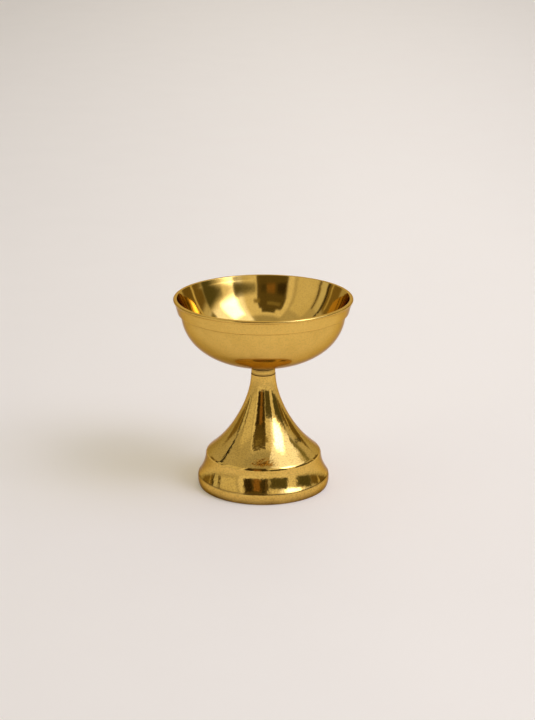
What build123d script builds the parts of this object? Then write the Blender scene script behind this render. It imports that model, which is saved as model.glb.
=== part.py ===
from build123d import *
import math
import os

# Butter lamp: a turned brass bowl that screws on to a bell-shaped foot.
# Millimetres, +Z up, origin on the ground under the middle of the foot.

# Heights, from the ground up
foot_height = 39.2
collar_height = 1.85
boss_height = 1.7
bowl_depth = 22.85

# Foot, from the ground up
base_radius = 22.45
base_bulge_height = 2.2
base_undercut = 0.45
base_edge_height = 3.7
crease_inset = 0.2
band_top_height = 10.55
band_inset = 2.8
band_lean = 6.0
shoulder_round = 1.95
shoulder_lean = 42.2
flare_lower_pull = 3.45
flare_waist_inset = 8.45
flare_waist_rise = 7.05
flare_upper_pull = 9.3
neck_radius = 4.15

# Hollow under the foot
foot_wall = 2.85
hollow_height = 24.0
hollow_tip_radius = 4.5

# Collar and boss at the neck
collar_inset = 0.1
edge_break = 0.15

# Bowl, outside
rim_radius = 30.0
bead_height = 1.0
bead_overhang = 0.4
rim_band_height = 4.9
rim_band_taper = 1.0
rim_band_step = 1.1
side_pull = 8.5
belly_relief = 7.6

# Bowl, inside
lip_width = 1.2
mouth_chamfer_width = 0.65
mouth_chamfer_height = 1.4
mouth_lean = 26.0
inside_side_relief = 1.0
inside_belly_relief = 6.15
floor_thickness = 1.9

# Stud that joins the bowl to the foot
head_radius = 4.0
head_height = 0.9
head_round = 0.4
shank_radius = 2.5
wick_hole_radius = 1.1
wick_hole_depth = 5.0
thread_length = 8.0
thread_pitch = 1.0
thread_depth_per_pitch = 0.5
thread_crest_per_pitch = 0.18
flank_angle = 30.0
thread_bite = 0.05

# Clearances
solder_gap = 0.05
collar_clearance = 0.08
thread_relief = 0.05
thread_top_gap = 0.12
flank_gap = 0.09
shank_stop_gap = 0.15

# Levels and radii that follow from the sizes above
collar_top = foot_height + collar_height
bowl_bottom = collar_top + boss_height
rim_height = bowl_bottom + bowl_depth
floor_height = bowl_bottom + floor_thickness
rim_band_bottom = rim_height - rim_band_height
bead_bottom = rim_height - bead_height
contact_radius = base_radius - base_undercut
crease_radius = base_radius - crease_inset
band_radius = base_radius - band_inset
waist_radius = band_radius - flare_waist_inset
waist_height = band_top_height + flare_waist_rise
hollow_radius = band_radius - foot_wall
collar_radius = neck_radius - collar_inset
band_upper_radius = rim_radius - bead_overhang
band_lower_radius = band_upper_radius - rim_band_taper
bowl_radius = band_lower_radius - rim_band_step
belly_pull = bowl_radius - belly_relief
lip_inner_radius = rim_radius - lip_width
mouth_radius = lip_inner_radius - mouth_chamfer_width
mouth_height = rim_height - mouth_chamfer_height
inside_side_pull = side_pull - inside_side_relief
inside_belly_pull = mouth_radius - inside_belly_relief
stud_end = foot_height - thread_length
shank_end = foot_height + shank_stop_gap
thread_radius = shank_radius - thread_relief
thread_crest = thread_pitch * thread_crest_per_pitch
thread_root = thread_radius - thread_pitch * thread_depth_per_pitch
tap_bore_radius = thread_root + thread_top_gap
tap_groove_radius = thread_radius + thread_top_gap


def ridge_outline(inner_radius, outer_radius, side_gap):
    """Corners of the thread's section at the start of its helix, widened by side_gap."""
    lean = math.radians(flank_angle)
    slope = math.tan(lean)
    half_crest = thread_crest / 2 + side_gap / math.cos(lean)
    outer_half = half_crest - (outer_radius - thread_radius) * slope
    inner_half = half_crest + (thread_radius - inner_radius) * slope
    return [
        (inner_radius, -inner_half),
        (outer_radius, -outer_half),
        (outer_radius, outer_half),
        (inner_radius, inner_half),
    ]


# Space cut by tapping: it runs from the hollow out through the top of the neck
with BuildPart() as tapping:
    with BuildSketch(Plane.XY.offset(hollow_height - thread_pitch)):
        Circle(tap_bore_radius)
    extrude(amount=foot_height - hollow_height + 3 * thread_pitch)
    with BuildLine(Plane.XY.offset(stud_end - thread_pitch)) as groove_path:
        Helix(thread_pitch, thread_length + 2 * thread_pitch, thread_root)
    with BuildSketch(Plane.XZ.shift_origin((0, 0, stud_end - thread_pitch))):
        with BuildLine():
            groove = ridge_outline(tap_bore_radius - thread_bite, tap_groove_radius, flank_gap)
            Polyline(*groove, close=True)
        make_face()
    sweep(path=groove_path.line, is_frenet=True)
tapped_hole = tapping.part

# Foot: one turned bell with a cove band, a round shoulder and a narrow neck, hollow from below
with BuildPart() as foot:
    with BuildSketch(Plane.XZ):
        with BuildLine():
            Line((hollow_radius, 0), (contact_radius, 0))
            ThreePointArc(
                (contact_radius, 0),
                (base_radius, base_bulge_height),
                (crease_radius, base_edge_height),
            )
            TangentArc(
                (band_radius, band_top_height),
                (crease_radius, base_edge_height),
                tangent=Vector(0, -1).rotate(Axis.Z, band_lean),
            )
            shoulder = JernArc(
                (band_radius, band_top_height), (0, 1), shoulder_round, 90 - shoulder_lean
            )
            neck_edge = Vector(neck_radius, foot_height - edge_break)
            Bezier(
                shoulder @ 1,
                (shoulder @ 1) + (shoulder % 1) * flare_lower_pull,
                (waist_radius, waist_height),
                neck_edge - Vector(0, flare_upper_pull),
                neck_edge,
            )
            Polyline(
                neck_edge,
                (neck_radius - edge_break, foot_height),
                (0, foot_height),
                (0, hollow_height),
                (hollow_tip_radius, hollow_height),
                (hollow_radius, band_top_height),
                (hollow_radius, 0),
            )
        make_face()
    revolve(axis=Axis.Z)
    add(tapped_hole, mode=Mode.SUBTRACT)
foot.part.label = "foot"

# Collar: plain ring between the neck of the foot and the boss of the bowl
with BuildPart() as neck_collar:
    with BuildSketch(Plane.XY.offset(foot_height)):
        Circle(collar_radius)
        Circle(shank_radius + collar_clearance, mode=Mode.SUBTRACT)
    extrude(amount=collar_height)
    outer_edges = neck_collar.edges().filter_by(GeomType.CIRCLE).sort_by(SortBy.RADIUS)[-2:]
    chamfer(outer_edges, edge_break)
neck_collar.part.label = "neck_collar"

# Cup: turned bowl with a rim band and a rolled lip, and a round boss under its floor
with BuildPart() as cup:
    with BuildSketch(Plane.XZ):
        with BuildLine():
            Bezier(
                (0, bowl_bottom),
                (belly_pull, bowl_bottom),
                (bowl_radius, rim_band_bottom - side_pull),
                (bowl_radius, rim_band_bottom),
            )
            Polyline(
                (bowl_radius, rim_band_bottom),
                (band_lower_radius, rim_band_bottom),
                (band_upper_radius, bead_bottom),
            )
            ThreePointArc(
                (band_upper_radius, bead_bottom),
                (rim_radius, rim_height - bead_height / 2),
                (rim_radius - bead_height / 2, rim_height),
            )
            Polyline(
                (rim_radius - bead_height / 2, rim_height),
                (lip_inner_radius, rim_height),
                (mouth_radius, mouth_height),
            )
            mouth = Vector(mouth_radius, mouth_height)
            down_wall = Vector(0, -1).rotate(Axis.Z, -mouth_lean)
            Bezier(
                mouth,
                mouth + down_wall * inside_side_pull,
                (inside_belly_pull, floor_height),
                (0, floor_height),
            )
            Line((0, floor_height), (0, bowl_bottom))
        make_face()
    revolve(axis=Axis.Z)
    with BuildSketch(Plane.XY.offset(collar_top)):
        Circle(collar_radius)
    extrude(amount=boss_height + floor_thickness / 2)
    boss_edge = cup.edges().filter_by(GeomType.CIRCLE).group_by(Axis.Z)[0]
    chamfer(boss_edge, edge_break)
    # Hole for the stud's shank, and a flat seat for its head
    with BuildSketch(Plane.XY.offset(collar_top)):
        Circle(shank_radius + solder_gap)
    extrude(amount=rim_height - collar_top, mode=Mode.SUBTRACT)
    with BuildSketch(Plane.XY.offset(floor_height)):
        Circle(head_radius + solder_gap)
    extrude(amount=head_height, mode=Mode.SUBTRACT)
cup.part.label = "cup"

# Stud: low head on the bowl floor, plain shank through boss and collar, screw thread in the foot
with BuildPart() as screw_stud:
    with BuildSketch(Plane.XY.offset(stud_end)):
        Circle(thread_root)
    extrude(amount=thread_length + shank_stop_gap)
    with BuildSketch(Plane.XY.offset(shank_end)):
        Circle(shank_radius)
    extrude(amount=floor_height - shank_end)
    with BuildSketch(Plane.XY.offset(floor_height)):
        Circle(head_radius)
    extrude(amount=head_height)
    fillet(screw_stud.edges().group_by(Axis.Z)[-1], min(head_round, head_height / 2))
    with BuildSketch(Plane.XY.offset(floor_height + head_height)):
        Circle(wick_hole_radius)
    extrude(amount=-wick_hole_depth, mode=Mode.SUBTRACT)
    with BuildLine(Plane.XY.offset(stud_end + thread_pitch)) as ridge_path:
        Helix(thread_pitch, thread_length - 2 * thread_pitch, thread_root)
    with BuildSketch(Plane.XZ.shift_origin((0, 0, stud_end + thread_pitch))):
        with BuildLine():
            ridge = ridge_outline(thread_root - thread_bite, thread_radius, 0)
            Polyline(*ridge, close=True)
        make_face()
    sweep(path=ridge_path.line, is_frenet=True)
screw_stud.part.label = "screw_stud"

os.makedirs("parts", exist_ok=True)
export_step(foot.part, "parts/foot.step")
export_step(neck_collar.part, "parts/neck_collar.step")
export_step(cup.part, "parts/cup.step")
export_step(screw_stud.part, "parts/screw_stud.step")
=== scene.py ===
import math

import bmesh
import bpy
import numpy as np
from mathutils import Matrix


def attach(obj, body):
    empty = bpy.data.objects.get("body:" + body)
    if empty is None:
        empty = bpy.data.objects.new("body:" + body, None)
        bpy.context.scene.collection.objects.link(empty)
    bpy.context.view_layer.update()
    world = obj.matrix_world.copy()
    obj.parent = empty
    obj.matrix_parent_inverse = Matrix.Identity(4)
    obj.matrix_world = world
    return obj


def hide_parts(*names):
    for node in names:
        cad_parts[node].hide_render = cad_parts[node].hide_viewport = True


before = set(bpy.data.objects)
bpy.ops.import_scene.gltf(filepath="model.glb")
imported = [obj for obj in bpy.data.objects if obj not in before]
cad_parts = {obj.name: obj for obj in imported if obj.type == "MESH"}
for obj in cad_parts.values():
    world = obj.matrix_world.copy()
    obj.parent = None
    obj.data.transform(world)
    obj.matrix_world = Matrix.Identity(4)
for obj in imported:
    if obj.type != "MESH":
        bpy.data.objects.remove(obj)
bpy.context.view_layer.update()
mm = 0.001
print("frame loaded:", ", ".join(sorted(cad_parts)))


# Profile runs, as points (radius, height) in millimetres

def straightCut(start, end, longest=1.0):
    count = max(3, math.ceil(math.dist(start, end) / longest) + 1)
    return np.linspace(start, end, count)


def arcCut(start, through, end, count=14):
    (ax, ay), (bx, by), (cx, cy) = start, through, end
    double = 2 * (ax * (by - cy) + bx * (cy - ay) + cx * (ay - by))
    a, b, c = ax * ax + ay * ay, bx * bx + by * by, cx * cx + cy * cy
    middle = np.array([
        (a * (by - cy) + b * (cy - ay) + c * (ay - by)) / double,
        (a * (cx - bx) + b * (ax - cx) + c * (bx - ax)) / double,
    ])
    radius = math.dist(start, middle)
    angles = [math.atan2(p[1] - middle[1], p[0] - middle[0]) for p in (start, through, end)]
    angles = np.unwrap(angles)
    turn = np.linspace(angles[0], angles[2], count)
    return middle + radius * np.column_stack([np.cos(turn), np.sin(turn)])


def pulledCurve(*corners, count=100):
    t = np.linspace(0, 1, count)[:, None]
    last = len(corners) - 1
    weights = [math.comb(last, k) * (1 - t) ** (last - k) * t ** k for k in range(last + 1)]
    return sum(w * np.array(p, float) for w, p in zip(weights, corners))


def fromRadius(points, radius):
    # the curve from where it first reaches this radius
    first = int(np.argmax(points[:, 0] > radius))
    before, after = points[first - 1], points[first]
    share = (radius - before[0]) / (after[0] - before[0])
    return np.vstack([before + share * (after - before), points[first:]])


def lengthsAlong(points):
    steps = np.linalg.norm(np.diff(points, axis=0), axis=1)
    return np.concatenate([[0], np.cumsum(steps)])


def trimmed(points, head, tail, hair=1e-6):
    # the run without its two ends, where the eased corners go
    along = lengthsAlong(points)
    keep = (along > head + hair) & (along < along[-1] - tail - hair)
    stops = np.concatenate([[head], along[keep], [along[-1] - tail]])
    return np.column_stack([np.interp(stops, along, points[:, k]) for k in (0, 1)])


def run(points, edge=0.1, polish=0.0, dirtAndShade=0.0, wear=0.0, spread=0.5):
    # edge, the dark mark of dirt and painted shade, and wear belong to the corner at the end of the run
    return dict(points=points, edge=edge, polish=polish, dirtAndShade=dirtAndShade, wear=wear, spread=spread)


def softProfile(runs, cornerSteps=9):
    # closed outline with every corner eased, and its exact outward normals
    places, facing, polish, owners = [], [], [], []
    for k, part in enumerate(runs):
        before, after = runs[k - 1], runs[(k + 1) % len(runs)]
        points = trimmed(part["points"], before["edge"], part["edge"])
        places.append(points)
        facing.append(np.gradient(points, lengthsAlong(points), axis=0, edge_order=2))
        polish.append(np.full(len(points), part["polish"]))
        owners.append(np.full(len(points), float(k)))
        start = points[-1]
        corner = part["points"][-1]
        end = trimmed(after["points"], part["edge"], after["edge"])[0]
        t = np.linspace(0, 1, cornerSteps)[1:-1, None]
        places.append((1 - t) ** 2 * start + 2 * t * (1 - t) * corner + t * t * end)
        facing.append((1 - t) * (corner - start) + t * (end - corner))
        polish.append(np.linspace(part["polish"], after["polish"], cornerSteps)[1:-1])
        owners.append(np.full(len(t), k + 0.5))
    places = np.vstack(places)
    owners = np.concatenate(owners)
    facing = np.vstack(facing)
    facing = facing / np.linalg.norm(facing, axis=1)[:, None]
    normals = np.column_stack([facing[:, 1], -facing[:, 0]])
    marks = {"polish": np.concatenate(polish)}
    for mark in ("dirtAndShade", "wear"):
        marks[mark] = np.zeros(len(places))
        for k, part in enumerate(runs):
            # a mark spreads along the two runs that meet at its corner
            apart = np.abs(owners - k - 0.5)
            beside = np.minimum(apart, len(runs) - apart) <= 1
            away = np.linalg.norm(places - part["points"][-1], axis=1) / part["spread"]
            marks[mark] = np.maximum(marks[mark], beside * part[mark] * np.exp(-away ** 2))
    return places, normals, marks


def turnOnLathe(name, runs, steps):
    places, normals, marks = softProfile(runs)
    count = len(places)
    angles = np.arange(steps) * 2 * math.pi / steps
    cosines, sines = np.cos(angles), np.sin(angles)

    def swung(pairs, scale):
        x = np.outer(cosines, pairs[:, 0])
        y = np.outer(sines, pairs[:, 0])
        z = np.broadcast_to(pairs[:, 1], x.shape)
        return np.stack([x, y, z], axis=-1).reshape(-1, 3) * scale

    faces = []
    for j in range(steps):
        here, there = j * count, (j + 1) % steps * count
        for i in range(count):
            up = (i + 1) % count
            faces.append((here + i, there + i, there + up, here + up))
    mesh = bpy.data.meshes.new(name)
    mesh.from_pydata(swung(places, mm).tolist(), [], faces)
    mesh.polygons.foreach_set("use_smooth", [True] * len(mesh.polygons))
    for mark, values in marks.items():
        layer = mesh.attributes.new(mark, "FLOAT", "POINT")
        layer.data.foreach_set("value", np.tile(values, steps))
    mesh.normals_split_custom_set_from_vertices(swung(normals, 1).tolist())
    mesh.validate(clean_customdata=False)
    piece = bpy.data.objects.new(name, mesh)
    bpy.context.collection.objects.link(piece)
    print(name, "turned,", len(mesh.polygons), "faces")
    return piece


# Brass finishes

def addNode(tree, kind, links=(), **settings):
    made = tree.nodes.new("ShaderNode" + kind)
    for key, value in settings.items():
        setattr(made, key, value)
    for socket, source in dict(links).items():
        if isinstance(source, bpy.types.NodeSocket):
            tree.links.new(source, made.inputs[socket])
        else:
            made.inputs[socket].default_value = source
    return made


def sums(tree, operation, *values):
    made = tree.nodes.new("ShaderNodeMath")
    made.operation = operation
    for slot, value in zip(made.inputs, values):
        if isinstance(value, bpy.types.NodeSocket):
            tree.links.new(value, slot)
        else:
            slot.default_value = value
    return made.outputs[0]


def spanned(tree, value, low, high, toLow, toHigh):
    made = addNode(tree, "MapRange", {"Value": value, "From Min": low, "From Max": high,
                                      "To Min": toLow, "To Max": toHigh})
    return made.outputs[0]


def tinted(tree, share, first, second):
    made = tree.nodes.new("ShaderNodeMix")
    made.data_type = "RGBA"
    for slot, value in ((0, share), (6, first), (7, second)):
        if isinstance(value, bpy.types.NodeSocket):
            tree.links.new(value, made.inputs[slot])
        else:
            made.inputs[slot].default_value = value
    return made.outputs[2]


def turnedBrass(finish):
    material = bpy.data.materials.new(finish["name"])
    material.use_nodes = True
    tree = material.node_tree
    tree.nodes.clear()
    place = addNode(tree, "TexCoord").outputs["Object"]
    split = addNode(tree, "SeparateXYZ", {0: place})
    x, y, z = split.outputs
    squares = sums(tree, "ADD", sums(tree, "MULTIPLY", x, x), sums(tree, "MULTIPLY", y, y))
    radius = sums(tree, "SQRT", squares)
    angle = sums(tree, "ARCTAN2", y, x)
    drift = sums(tree, "MULTIPLY", angle, finish["lineDrift"] * mm)
    ringPlace = addNode(tree, "CombineXYZ", {0: radius, 1: z, 2: drift}).outputs[0]

    def noise(vector, size, detail=1.0, roughness=0.55):
        made = addNode(tree, "TexNoise", {"Vector": vector, "Scale": 1 / (size * mm),
                                          "Detail": detail, "Roughness": roughness})
        return made.outputs[0]

    lines = noise(ringPlace, finish["lineSize"], finish["lineDetail"])
    grain = noise(place, finish["grainSize"])
    pits = noise(place, finish["pitSize"])
    waves = noise(place, finish["waveSize"])
    cloud = noise(place, finish["cloudSize"], finish["cloudDetail"], finish["cloudRoughness"])
    polish = addNode(tree, "Attribute", attribute_name="polish").outputs["Fac"]
    dirtAndShade = addNode(tree, "Attribute", attribute_name="dirtAndShade").outputs["Fac"]
    wear = addNode(tree, "Attribute", attribute_name="wear").outputs["Fac"]

    # colour: clean brass, clouded with handling, with fine dark pits, brown where dirt stays in the seams
    # and brown painted shade on the base lip and under the cup
    handling = spanned(tree, cloud, *finish["cloudTint"], 0.0, 1.0)
    clouded = tinted(tree, handling, finish["brass"], finish["handled"])
    cutting = spanned(tree, lines, *finish["lineRange"], 0.0, finish["lineTint"])
    lined = tinted(tree, cutting, clouded, finish["handled"])
    pitting = spanned(tree, pits, *finish["pitRange"], 0.0, finish["pitTint"])
    pitted = tinted(tree, pitting, lined, finish["grimeAndShade"])
    worn = tinted(tree, wear, pitted, finish["rubbed"])
    patches = spanned(tree, cloud, *finish["cloudRange"], *finish["grimeAndShadePatches"])
    colour = tinted(tree, sums(tree, "MULTIPLY", dirtAndShade, patches), worn, finish["grimeAndShade"])

    # roughness: satin where it was only turned, bright where it was polished
    satin = spanned(tree, cloud, *finish["cloudRange"], *finish["satin"])
    bright = spanned(tree, cloud, *finish["cloudRange"], *finish["bright"])
    smooth = sums(tree, "SUBTRACT", 1.0, polish)
    rough = sums(tree, "ADD", sums(tree, "MULTIPLY", satin, smooth), sums(tree, "MULTIPLY", bright, polish))
    rough = sums(tree, "ADD", rough, sums(tree, "MULTIPLY", dirtAndShade, finish["dirtRoughness"]))

    # relief: cutter lines, a fine grain and slow waves left by the buffing
    cut = sums(tree, "MULTIPLY", lines, sums(tree, "MULTIPLY_ADD", polish, -finish["polishedOff"], 1.0))
    relief = addNode(tree, "Bump", {"Strength": finish["lineDepth"], "Height": cut,
                                    "Distance": finish["lineHeight"] * mm})
    relief = addNode(tree, "Bump", {"Strength": finish["grainDepth"], "Height": grain,
                                    "Distance": finish["grainHeight"] * mm, "Normal": relief.outputs[0]})
    relief = addNode(tree, "Bump", {"Strength": finish["waveDepth"], "Height": waves,
                                    "Distance": finish["waveHeight"] * mm, "Normal": relief.outputs[0]})

    shader = addNode(tree, "BsdfPrincipled", {"Base Color": colour, "Metallic": 1.0, "Roughness": rough,
                                              "Specular Tint": finish["edgeTint"],
                                              "Normal": relief.outputs[0]})
    addNode(tree, "OutputMaterial", {"Surface": shader.outputs[0]})
    return material


def dress(piece, material, body, slot, *nodes):
    piece.data.materials.append(material)
    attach(piece, body)
    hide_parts(*nodes)


# Foot: bell on a coved base, hollow from below

foot = {
    "contactRadius": 22.0,
    "baseRadius": 22.45,
    "bulgeHeight": 2.2,
    "creaseRadius": 22.25,
    "creaseHeight": 3.7,
    "bandRadius": 19.65,
    "bandTop": 10.55,
    "bandLean": 6.0,
    "shoulderRound": 1.95,
    "shoulderLean": 42.2,
    "lowerPull": 3.45,
    "waistInset": 8.45,
    "waistRise": 7.05,
    "upperPull": 9.3,
    "neckRadius": 4.15,
    "height": 39.2,
    "neckEdge": 0.15,
    "boreRadius": 2.57,
    "hollowTop": 24.0,
    "hollowTipRadius": 4.5,
    "hollowRadius": 16.8,
    "coveSteps": 36,
    "shoulderSteps": 20,
    "flareSteps": 110,
    "turnSteps": 192,
}

footFinish = {
    "name": "foot_brass",
    "brass": (0.825, 0.532, 0.126, 1),
    "handled": (0.75, 0.472, 0.102, 1),
    "rubbed": (0.82, 0.58, 0.17, 1),
    # dark brown for the pits, the dirt in the seams and the painted shade
    "grimeAndShade": (0.10, 0.05, 0.015, 1),
    "edgeTint": (0.59, 0.48, 0.38, 1),
    "pitSize": 0.5,
    "pitRange": (0.48, 0.64),
    "pitTint": 0.22,
    "lineTint": 0.25,
    "lineRange": (0.3, 0.8),
    "lineDetail": 3.0,
    "lineSize": 0.35,
    "lineDrift": 0.5,
    "lineDepth": 0.12,
    "lineHeight": 0.02,
    "grainSize": 1.2,
    "grainDepth": 1.0,
    "grainHeight": 0.03,
    "waveSize": 9.0,
    "waveDepth": 0.05,
    "waveHeight": 0.2,
    "cloudSize": 6.0,
    "cloudDetail": 4.0,
    "cloudRoughness": 0.6,
    "cloudTint": (0.35, 0.75),
    "cloudRange": (0.3, 0.7),
    "satin": (0.07, 0.11),
    "bright": (0.06, 0.10),
    "polishedOff": 0.8,
    "dirtRoughness": 0.15,
    # patchiness of the dark mark of dirt and painted shade
    "grimeAndShadePatches": (0.75, 1.15),
}


def makeFoot():
    f = foot
    lean = math.radians(f["shoulderLean"])
    crease = (f["creaseRadius"], f["creaseHeight"])
    bandTop = np.array([f["bandRadius"], f["bandTop"]])
    # the cove is an arc that stands almost upright at its top, where the shoulder's round begins
    drop = np.array(crease) - bandTop
    turn = math.atan2(drop[0], -drop[1]) - math.radians(f["bandLean"])
    coveMiddle = bandTop + drop / 2 + np.array([drop[1], -drop[0]]) / 2 * math.tan(turn / 2)

    def onShoulder(share):
        turn = share * (math.pi / 2 - lean)
        return bandTop + f["shoulderRound"] * np.array([math.cos(turn) - 1, math.sin(turn)])

    shoulderEnd = onShoulder(1.0)
    inward = np.array([-math.cos(lean), math.sin(lean)])
    waist = (f["bandRadius"] - f["waistInset"], f["bandTop"] + f["waistRise"])
    neckEdge = (f["neckRadius"], f["height"] - f["neckEdge"])
    neckTop = (f["neckRadius"] - f["neckEdge"], f["height"])
    flare = pulledCurve(shoulderEnd, shoulderEnd + f["lowerPull"] * inward, waist,
                        (neckEdge[0], neckEdge[1] - f["upperPull"]), neckEdge, count=f["flareSteps"])
    cove = arcCut(crease, coveMiddle, bandTop, f["coveSteps"])
    shoulder = arcCut(bandTop, onShoulder(0.5), shoulderEnd, f["shoulderSteps"])
    flank = np.vstack([cove, shoulder[1:], flare[1:]])
    contact = (f["contactRadius"], 0)
    boreTop = (f["boreRadius"], f["height"])
    boreEnd = (f["boreRadius"], f["hollowTop"])
    hollowTip = (f["hollowTipRadius"], f["hollowTop"])
    hollowSide = (f["hollowRadius"], f["bandTop"])
    hollowFoot = (f["hollowRadius"], 0)
    runs = [
        # painted shade: the dark marks at the contact edge and at the lip's crease darken the base lip as
        # the contact shadow would
        run(straightCut(hollowFoot, contact), edge=0.12, dirtAndShade=0.75, spread=1.7),
        run(arcCut(contact, (f["baseRadius"], f["bulgeHeight"]), crease), edge=0.12, dirtAndShade=0.5, spread=0.35),
        run(flank, edge=0.05),
        run(straightCut(neckEdge, neckTop), edge=0.05, dirtAndShade=0.9, spread=0.25),
        run(straightCut(neckTop, boreTop), edge=0.1),
        run(straightCut(boreTop, boreEnd), edge=0.2),
        run(straightCut(boreEnd, hollowTip), edge=0.4, dirtAndShade=0.5),
        run(straightCut(hollowTip, hollowSide), edge=0.8),
        run(straightCut(hollowSide, hollowFoot), edge=0.3),
    ]
    piece = turnOnLathe("brass_foot", runs, f["turnSteps"])
    dress(piece, turnedBrass(footFinish), "foot", "foot_brass", "foot")


# Collar: loose ring on the stud, between the neck of the foot and the boss of the cup

collar = {
    "bottom": 39.2,
    "height": 1.85,
    "radius": 4.05,
    "bore": 2.58,
    "edge": 0.15,
    "seamDirt": 0.8,
    "turnSteps": 96,
}

collarFinish = dict(footFinish, name="collar_brass")


def makeCollar():
    c = collar
    top = c["bottom"] + c["height"]
    innerLow, outerLow = (c["bore"], c["bottom"]), (c["radius"], c["bottom"])
    innerHigh, outerHigh = (c["bore"], top), (c["radius"], top)
    # dirt stays in the two seams, outside
    seam = dict(edge=c["edge"], dirtAndShade=c["seamDirt"], spread=0.25)
    runs = [
        run(straightCut(innerLow, outerLow), **seam),
        run(straightCut(outerLow, outerHigh), **seam),
        run(straightCut(outerHigh, innerHigh), edge=c["edge"]),
        run(straightCut(innerHigh, innerLow), edge=c["edge"]),
    ]
    piece = turnOnLathe("brass_collar", runs, c["turnSteps"])
    dress(piece, turnedBrass(collarFinish), "collar", "collar_brass", "neck_collar")


# Cup: thin bowl with a rim band, a rolled lip and a boss below

cup = {
    "bossBottom": 41.05,
    "bossRadius": 4.05,
    "holeRadius": 2.55,
    "bowlBottom": 42.75,
    "bellyPull": 19.9,
    "bowlRadius": 27.5,
    "sidePull": 8.5,
    "bandBottom": 60.7,
    "bandLowerRadius": 28.6,
    "bandUpperRadius": 29.6,
    "beadBottom": 64.6,
    "rimRadius": 30.0,
    "rimHeight": 65.6,
    "beadHeight": 1.0,
    "lipRadius": 28.8,
    "mouthRadius": 28.15,
    "mouthHeight": 64.2,
    "mouthLean": 26.0,
    "insideSidePull": 7.5,
    "insideBellyPull": 22.0,
    "floorHeight": 44.65,
    # how far the painted shade under the bowl spreads from the boss
    "bellyShadeSpread": 16.0,
    "turnSteps": 224,
}

cupFinish = dict(
    footFinish,
    name="cup_brass",
    satin=(0.10, 0.14),
    lineDepth=0.2,
    grainDepth=0.1,
    pitTint=0.1,
)


def makeCup():
    c = cup
    bowlTop = (c["bowlRadius"], c["bandBottom"])
    bandLow = (c["bandLowerRadius"], c["bandBottom"])
    bandHigh = (c["bandUpperRadius"], c["beadBottom"])
    beadOut = (c["rimRadius"], c["rimHeight"] - c["beadHeight"] / 2)
    beadTop = (c["rimRadius"] - c["beadHeight"] / 2, c["rimHeight"])
    lip = (c["lipRadius"], c["rimHeight"])
    mouth = (c["mouthRadius"], c["mouthHeight"])
    lean = math.radians(c["mouthLean"])
    pull = c["insideSidePull"]
    down = (mouth[0] - pull * math.sin(lean), mouth[1] - pull * math.cos(lean))
    outside = pulledCurve((0, c["bowlBottom"]), (c["bellyPull"], c["bowlBottom"]),
                          (c["bowlRadius"], c["bandBottom"] - c["sidePull"]), bowlTop)
    outside = fromRadius(outside, c["bossRadius"])
    inside = pulledCurve((0, c["floorHeight"]), (c["insideBellyPull"], c["floorHeight"]), down, mouth)
    inside = fromRadius(inside, c["holeRadius"])[::-1]
    hole = tuple(inside[-1])
    holeBottom = (c["holeRadius"], c["bossBottom"])
    bossLow = (c["bossRadius"], c["bossBottom"])
    bossHigh = tuple(outside[0])
    runs = [
        run(straightCut(holeBottom, bossLow), edge=0.15, dirtAndShade=0.7, spread=0.25),
        # painted shade: the dark mark at the boss corner spreads over the bowl's underside and dims its
        # reflection
        run(straightCut(bossLow, bossHigh), edge=0.2, dirtAndShade=0.9, spread=c["bellyShadeSpread"]),
        # a faint dark line in the corner under the band step
        run(outside, edge=0.35, dirtAndShade=0.2, spread=0.4),
        run(straightCut(bowlTop, bandLow), edge=0.5),
        run(straightCut(bandLow, bandHigh), edge=0.45),
        run(arcCut(bandHigh, beadOut, beadTop), edge=0.1),
        run(straightCut(beadTop, lip), edge=0.12, polish=0.7, wear=0.2, spread=0.4),
        run(straightCut(lip, mouth), edge=0.2, polish=1.0),
        run(inside, edge=0.1, polish=1.0),
        run(straightCut(hole, holeBottom), edge=0.1),
    ]
    piece = turnOnLathe("brass_cup", runs, c["turnSteps"])
    dress(piece, turnedBrass(cupFinish), "cup", "cup_brass", "cup")


# Stud: the frame's own solid, thread and all, in the same brass

studFinish = dict(footFinish, name="stud_brass")


def dressStud():
    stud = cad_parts["screw_stud"]
    stud.data.materials.clear()
    stud.data.materials.append(turnedBrass(studFinish))
    print("stud dressed")


makeFoot()
makeCollar()
makeCup()
dressStud()


# Studio: pale ground, a tall softbox at the right and screens that the metal mirrors

ground = {
    "radius": 9.0,
    "drop": 0.05,
    "pale": (0.925, 0.86, 0.71, 1),
    "far": (0.68, 0.63, 0.52, 1),
    "depthShare": (1.0, 0.15, 0.0),
    "middle": (0.085, 0.015, 0.0),
    "reach": (0.05, 0.45),
    "mottle": 0.035,
    "mottleRange": (0.3, 0.7),
    "mottleSize": 35.0,
    "mottleDetail": 6.0,
    "roughness": 0.9,
    "gloss": 0.1,
    "lift": 0.175,
    "segments": 128,
}


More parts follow.
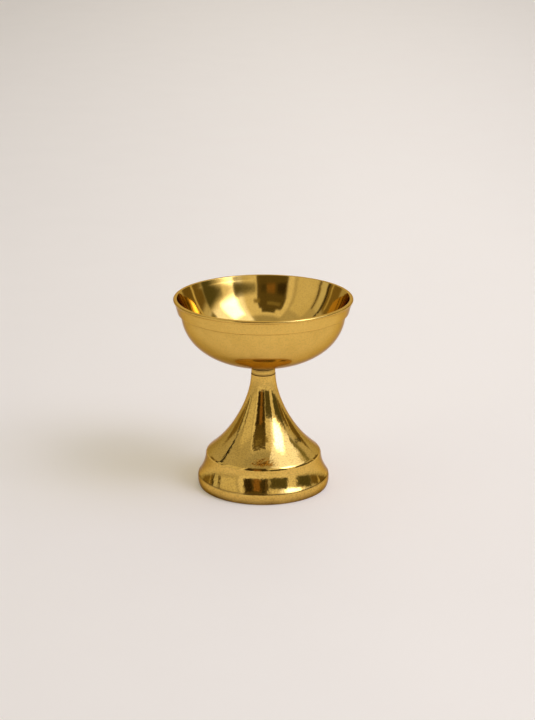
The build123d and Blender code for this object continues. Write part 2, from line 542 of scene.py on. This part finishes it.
def makeGround():
    g = ground
    mesh = bpy.data.meshes.new("ground")
    shape = bmesh.new()
    bmesh.ops.create_circle(shape, cap_ends=True, segments=g["segments"], radius=g["radius"])
    shape.to_mesh(mesh)
    shape.free()
    piece = bpy.data.objects.new("ground", mesh)
    piece.location.z = -g["drop"] * mm
    bpy.context.collection.objects.link(piece)
    material = bpy.data.materials.new("ground_paper")
    material.use_nodes = True
    material.cycles.emission_sampling = "NONE"
    tree = material.node_tree
    tree.nodes.clear()
    place = addNode(tree, "TexCoord").outputs["Object"]
    # the light falls off faster to the sides than to the back
    level = addNode(tree, "VectorMath", {0: place, 1: g["depthShare"]}, operation="MULTIPLY").outputs[0]
    away = addNode(tree, "VectorMath", {0: level, 1: g["middle"]}, operation="DISTANCE").outputs["Value"]
    mottle = addNode(tree, "TexNoise", {"Vector": place, "Scale": 1 / (g["mottleSize"] * mm),
                                        "Detail": g["mottleDetail"]}).outputs[0]
    dim = spanned(tree, away, *g["reach"], 0.0, 1.0)
    dim = sums(tree, "ADD", dim, spanned(tree, mottle, *g["mottleRange"], 0.0, g["mottle"]))
    colour = tinted(tree, dim, g["pale"], g["far"])
    paper = addNode(tree, "BsdfPrincipled", {"Base Color": colour, "Roughness": g["roughness"],
                                             "Specular IOR Level": g["gloss"]})
    # the paper shows a little brighter to the camera and in the metal, and keeps its shadow
    path = addNode(tree, "LightPath").outputs
    seen = sums(tree, "MAXIMUM", path["Is Camera Ray"], path["Is Glossy Ray"])
    seen = sums(tree, "MAXIMUM", seen, path["Is Transmission Ray"])
    lift = addNode(tree, "Emission", {"Color": colour, "Strength": sums(tree, "MULTIPLY", seen, g["lift"])})
    both = addNode(tree, "AddShader", {0: paper.outputs[0], 1: lift.outputs[0]})
    addNode(tree, "OutputMaterial", {"Surface": both.outputs[0]})
    piece.data.materials.append(material)


# Screens stand on a wide circle round the lamp, each a little nearer than the one before: side is from the
# camera's side, positive to the right, up is above the ground, both in degrees; soft is how far the edges
# fade, slope tips a screen, and away brings a small card close to the lamp, in metres
screens = {
    "leftWall": {"side": (-165, -45), "up": (-2, 68), "soft": (6, 6), "tone": (0.50, 0.47, 0.41)},
    "ceiling": {"side": (-180, 180), "up": (60, 90), "soft": (1, 8), "tone": (0.43, 0.41, 0.37)},
    "rightWall": {"side": (84, 165), "up": (-2, 62), "soft": (4, 6), "tone": (0.60, 0.57, 0.52)},
    "softboxGlow": {"side": (29, 118), "up": (26, 78), "soft": (11, 10), "tone": (1.4, 1.5, 2.3)},
    "softboxCore": {"side": (41, 81), "up": (28, 61), "soft": (9, 7), "tone": (4.9, 5.2, 7.6)},
    "cameraSide": {"side": (-40, 12), "up": (5, 50), "soft": (4, 4), "tone": (0.10, 0.074, 0.03)},
    "lowRight": {"side": (10, 49), "up": (3, 36), "soft": (4, 5), "tone": (0.10, 0.092, 0.045)},
    "darkLeft": {"side": (-36, -21), "up": (6, 40), "soft": (2, 2), "tone": (0.035, 0.025, 0.012)},
    "brownPanel": {"side": (-19, -5), "up": (6, 40), "soft": (1.5, 2), "tone": (0.26, 0.14, 0.045)},
    "darkMiddle": {"side": (-5, 4), "up": (6, 48), "soft": (1.5, 2), "tone": (0.05, 0.04, 0.018)},
    "leftBright": {"side": (-88, -50), "up": (4, 50), "soft": (5, 6), "tone": (0.70, 0.66, 0.57)},
    "topBar": {"side": (-29, 6), "up": (48, 60), "soft": (4, 3), "tone": (0.10, 0.08, 0.035)},
    "oliveLow": {"side": (63, 100), "up": (1, 30), "soft": (5, 6), "tone": (0.09, 0.086, 0.042)},
    "oliveTall": {"side": (95, 130), "up": (30, 43),
                  "soft": (5, 5), "slope": 0.1, "tone": (0.22, 0.21, 0.12)},
    "rightLow": {"side": (96, 142), "up": (2, 23), "soft": (3, 5), "tone": (0.17, 0.125, 0.045)},
    "rightStripe": {"side": (114, 119), "up": (4, 24), "soft": (1.5, 3), "tone": (0.70, 0.62, 0.42)},
    "rightBeam": {"side": (112, 133), "up": (15, 19.5),
                  "soft": (1.5, 2), "slope": -0.65, "tone": (0.04, 0.035, 0.016)},
    "leftLow": {"side": (-134, -88), "up": (2, 25), "soft": (5, 5), "tone": (0.21, 0.155, 0.06)},
    "leftPane": {"side": (-103, -91), "up": (3, 30), "soft": (2, 3), "tone": (0.64, 0.63, 0.58)},
    "leftStripe": {"side": (-114, -110), "up": (4, 22), "soft": (1.5, 3), "tone": (0.55, 0.47, 0.27)},
    "leftBeam": {"side": (-122, -102), "up": (26.5, 34),
                 "soft": (1.5, 1.4), "slope": -0.75, "tone": (0.01, 0.008, 0.004)},
    "leftPost": {"side": (-107, -102), "up": (2, 29), "soft": (1.2, 2), "tone": (0.05, 0.038, 0.018)},
    "thinPost": {"side": (-91, -87), "up": (4, 32), "soft": (1.2, 2), "tone": (0.10, 0.075, 0.035)},
    "nearCard": {"side": (-43, 12), "up": (44, 63),
                 "soft": (4, 3), "tone": (0.11, 0.085, 0.035), "away": 0.3},
    "nearOlive": {"side": (-36, -6), "up": (52, 58),
                  "soft": (3, 2), "tone": (0.22, 0.18, 0.09), "away": 0.29},
    "nearGold": {"side": (5, 20), "up": (50, 56),
                 "soft": (3, 2), "tone": (0.26, 0.21, 0.10), "away": 0.28},
}

circle = {
    "farthest": 7.0,
    "step": 0.1,
    "fineness": 1.2,
    "fewest": 4,
}


def fading(angles, ends, soft):
    inward = np.minimum(angles - ends[0], ends[1] - angles) / soft
    share = np.clip(inward, 0, 1)
    return share * share * (3 - 2 * share)


def makeScreen(name, screen, away):
    (left, right), (low, high) = screen["side"], screen["up"]
    across = np.linspace(left, right, circle["fewest"] + math.ceil((right - left) / circle["fineness"]))
    upward = np.linspace(low, high, circle["fewest"] + math.ceil((high - low) / circle["fineness"]))
    wide = len(across)
    tip = screen.get("slope", 0.0) * (across - right)
    sides, ups = np.meshgrid(np.radians(across), np.radians(upward))
    ups = ups + np.radians(tip)
    points = np.stack([np.sin(sides) * np.cos(ups), -np.cos(sides) * np.cos(ups), np.sin(ups)], -1)
    faces = [(wide * j + i, wide * j + i + 1, wide * j + wide + i + 1, wide * j + wide + i)
             for j in range(len(upward) - 1) for i in range(wide - 1)]
    mesh = bpy.data.meshes.new(name)
    mesh.from_pydata((away * points).reshape(-1, 3).tolist(), [], faces)
    sideFade = fading(across, screen["side"], screen["soft"][0])
    upFade = fading(upward, screen["up"], screen["soft"][1])
    cover = mesh.attributes.new("cover", "FLOAT", "POINT")
    cover.data.foreach_set("value", np.outer(upFade, sideFade).ravel())
    piece = bpy.data.objects.new(name, mesh)
    bpy.context.collection.objects.link(piece)
    piece.visible_camera = False
    piece.visible_shadow = "away" not in screen
    material = bpy.data.materials.new(name + "_cloth")
    material.use_nodes = True
    material.cycles.emission_sampling = "AUTO" if max(screen["tone"]) > 1 else "NONE"
    tree = material.node_tree
    tree.nodes.clear()
    share = addNode(tree, "Attribute", attribute_name="cover").outputs["Fac"]
    clear = addNode(tree, "BsdfTransparent").outputs[0]
    cloth = addNode(tree, "Emission", {"Color": (*screen["tone"], 1)}).outputs[0]
    mixed = addNode(tree, "MixShader", {0: share, 1: clear, 2: cloth}).outputs[0]
    addNode(tree, "OutputMaterial", {"Surface": mixed})
    mesh.materials.append(material)


surround = {
    "colour": (0.84, 0.80, 0.765, 1),
    "strength": 1.0,
}


def makeSurround():
    world = bpy.data.worlds.new("surround")
    bpy.context.scene.world = world
    world.use_nodes = True
    backdrop = world.node_tree.nodes["Background"]
    backdrop.inputs["Color"].default_value = surround["colour"]
    backdrop.inputs["Strength"].default_value = surround["strength"]


makeGround()
for number, (name, screen) in enumerate(screens.items()):
    makeScreen(name, screen, screen.get("away", circle["farthest"] - number * circle["step"]))
makeSurround()
print("studio ready")


# Camera: the photograph's viewing angle

view = {
    "place": (0.00141, -0.560, 0.21957),
    "pitch": 0.304478,
    "focal": 1744.4,
    "imageHeight": 720,
    "sensor": 36.0,
    "clip": (0.01, 20.0),
}


def makeCamera():
    data = bpy.data.cameras.new("camera")
    data.sensor_width = view["sensor"]
    data.lens = view["focal"] / view["imageHeight"] * view["sensor"]
    data.clip_start, data.clip_end = view["clip"]
    holder = bpy.data.objects.new("camera", data)
    holder.location = view["place"]
    holder.rotation_euler = (math.pi / 2 - view["pitch"], 0, 0)
    bpy.context.collection.objects.link(holder)
    bpy.context.scene.camera = holder


makeCamera()
bpy.context.scene.view_settings.view_transform = "Standard"
print("camera ready")
